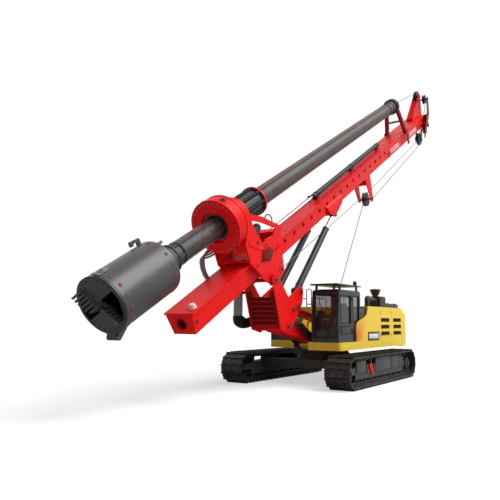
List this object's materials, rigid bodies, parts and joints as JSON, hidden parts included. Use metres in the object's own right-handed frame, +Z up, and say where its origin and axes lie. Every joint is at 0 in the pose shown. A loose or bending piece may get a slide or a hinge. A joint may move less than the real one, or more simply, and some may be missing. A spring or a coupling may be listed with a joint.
{
  "type": "rotary piling rig",
  "caption": "Crawler rotary piling rig with a leaning mast, drive head, kelly bar and drilling bucket on a slewing upper with a cab and counterweight.",
  "frame": {"origin": "on the ground under the slewing axis, midway between the tracks", "axes": "+X forwards to the drilling side, +Y to the left, the cab's side, +Z up"},
  "size_m": [22.4086, 4.4, 14.2292],
  "materials": {
    "red_paint": "glossy bright red paint",
    "yellow_paint": "glossy golden yellow paint",
    "black_parts": "satin black paint",
    "dark_paint": "satin dark grey paint",
    "track_steel": "dark worn steel",
    "kelly_steel": "satin grey steel with dark red ribs",
    "bucket_steel": "satin dark steel",
    "chrome_rod": "polished",
    "sheave_steel": "dark satin",
    "cab_trim": "matt dark grey",
    "seat_cloth": "dark cloth",
    "glass": "clear grey tint"
  },
  "bodies": {
    "undercarriage": {"centre_frame": "dark_paint", "slew_ring": "track_steel", "track_frames": "dark_paint", "track_left": "track_steel", "track_right": "track_steel", "front_idlers": "track_steel", "drive_sprockets": "track_steel", "track_rollers": "track_steel"},
    "upper": {"deck": "yellow_paint", "counterweight": "yellow_paint", "hood": "yellow_paint", "engine_block": "dark_paint", "side_cabinet": "black_parts", "tank": "dark_paint", "cab_shell": "black_parts", "cab_glass": "glass", "operator_seat": "seat_cloth", "cab_console": "cab_trim", "cab_guard": "black_parts", "cab_rail": "black_parts", "air_cleaner": "black_parts", "silencer": "black_parts"},
    "door": {"cab_door": "black_parts", "door_glass": "glass"},
    "winch": {"main_winch": "sheave_steel"},
    "boom": {"boom": "red_paint"},
    "strut": {"strut": "red_paint"},
    "triangle": {"triangle_frame": "red_paint"},
    "luff_barrel": {"luff_barrels": "black_parts"},
    "luff_rod": {"luff_rods": "chrome_rod"},
    "mast": {"mast_lower": "red_paint", "mast_upper": "red_paint", "mast_head": "red_paint", "rope_bracket": "red_paint", "crowd_barrel": "black_parts"},
    "mast_rod": {"mast_rods": "chrome_rod"},
    "mast_barrel": {"mast_barrels": "black_parts"},
    "aux_drum": {"aux_winch": "sheave_steel"},
    "head_wheel": {"head_sheave": "sheave_steel"},
    "rear_wheel": {"rear_sheave": "sheave_steel"},
    "aux_wheel": {"aux_sheave": "sheave_steel"},
    "bracket_wheel": {"bracket_sheave": "sheave_steel"},
    "carriage": {"carriage": "red_paint", "crowd_rod": "chrome_rod", "drive_head": "red_paint", "drive_motors": "dark_paint"},
    "sleeve": {"drive_sleeve": "dark_paint"},
    "guide": {"kelly_guide": "red_paint"},
    "kelly": {"kelly_bar": "kelly_steel", "drilling_bucket": "bucket_steel"},
    "flap": {"bucket_flap": "bucket_steel"}
  },
  "joints": [
    {"name": "slewing", "type": "hinge", "parent": "undercarriage", "child": "upper", "pos_m": [0, 0, 1.04], "axis": [0, 0, 1], "continuous": true},
    {"name": "cab_door_swing", "type": "hinge", "parent": "upper", "child": "door", "pos_m": [1.092, 1.514, 1.6], "axis": [0, 0, 1], "range_deg": [0, 95]},
    {"name": "main_winch_spin", "type": "hinge", "parent": "upper", "child": "winch", "pos_m": [-0.3, 0, 1.83], "axis": [0, 1, 0], "continuous": true},
    {"name": "boom_luff", "type": "hinge", "parent": "upper", "child": "boom", "pos_m": [0.95, 0, 1.38], "axis": [0, -1, 0], "range_deg": [-3, 43.5]},
    {"name": "strut_swing", "type": "hinge", "parent": "upper", "child": "strut", "pos_m": [0.34, 0, 1.96], "axis": [0, -1, 0], "range_deg": [-3.02, 43.52]},
    {"name": "triangle_level", "type": "hinge", "parent": "boom", "child": "triangle", "pos_m": [3.36, 0, 1.8], "axis": [0, -1, 0], "range_deg": [-43.52, 3.02]},
    {"name": "luff_barrel_swing", "type": "hinge", "parent": "upper", "child": "luff_barrel", "pos_m": [1.25, 0, 1.2], "axis": [0, -1, 0], "range_deg": [-2.9, 41.78]},
    {"name": "luff_rod_slide", "type": "slide", "parent": "luff_barrel", "child": "luff_rod", "axis": [0.8533, 0, 0.5215], "range_m": [-0.0467, 0.67043]},
    {"name": "mast_tilt", "type": "hinge", "parent": "triangle", "child": "mast", "pos_m": [4.05, 0, 3.12], "axis": [0, 1, 0], "range_deg": [-29.2, 60.8]},
    {"name": "mast_rod_swing", "type": "hinge", "parent": "mast", "child": "mast_rod", "pos_m": [-0.1336, 0, 5.6987], "axis": [0, 1, 0], "range_deg": [-2.36, 4.88]},
    {"name": "mast_barrel_slide", "type": "slide", "parent": "mast_rod", "child": "mast_barrel", "axis": [0.6924, 0, -0.7215], "range_m": [-0.61716, 1.2845]},
    {"name": "aux_winch_spin", "type": "hinge", "parent": "mast", "child": "aux_drum", "pos_m": [3.58658, 0, 3.45918], "axis": [0, 1, 0], "continuous": true},
    {"name": "head_sheave_spin", "type": "hinge", "parent": "mast", "child": "head_wheel", "pos_m": [-11.58857, 0, 13.89923], "axis": [0, 1, 0], "continuous": true},
    {"name": "rear_sheave_spin", "type": "hinge", "parent": "mast", "child": "rear_wheel", "pos_m": [-11.71576, 0, 11.62188], "axis": [0, 1, 0], "continuous": true},
    {"name": "aux_sheave_spin", "type": "hinge", "parent": "mast", "child": "aux_wheel", "pos_m": [-11.55417, 0.4, 13.6738], "axis": [0, 1, 0], "continuous": true},
    {"name": "bracket_sheave_spin", "type": "hinge", "parent": "mast", "child": "bracket_wheel", "pos_m": [-4.02045, 0, 6.94308], "axis": [0, 1, 0], "continuous": true},
    {"name": "crowd_slide", "type": "slide", "parent": "mast", "child": "carriage", "axis": [0.8729, 0, -0.4879], "range_m": [-3.1, 1]},
    {"name": "kelly_slide", "type": "slide", "parent": "mast", "child": "guide", "axis": [0.8729, 0, -0.4879], "range_m": [-1, 9]},
    {"name": "kelly_spin", "type": "hinge", "parent": "guide", "child": "kelly", "pos_m": [8.28506, 0, 3.21609], "axis": [-0.8729, 0, 0.4879], "continuous": true},
    {"name": "sleeve_spin", "type": "hinge", "parent": "carriage", "child": "sleeve", "pos_m": [5.6663, 0, 4.67967], "axis": [-0.8729, 0, 0.4879], "continuous": true},
    {"name": "flap_swing", "type": "hinge", "parent": "kelly", "child": "flap", "pos_m": [9.64858, 0, 1.61778], "axis": [0, 1, 0], "range_deg": [0, 70]}
  ],
  "couplings": [
    {"joint": "strut_swing", "follows": "boom_luff", "ratio": 1},
    {"joint": "triangle_level", "follows": "boom_luff", "ratio": -1},
    {"joint": "luff_barrel_swing", "follows": "boom_luff", "ratio": 0.96},
    {"joint": "luff_rod_slide", "follows": "boom_luff", "m_per_rad": 0.8824},
    {"joint": "mast_rod_swing", "follows": "mast_tilt", "ratio": 0.08},
    {"joint": "mast_barrel_slide", "follows": "mast_tilt", "m_per_rad": 1.21},
    {"joint": "sleeve_spin", "follows": "kelly_spin", "ratio": 1}
  ]
}
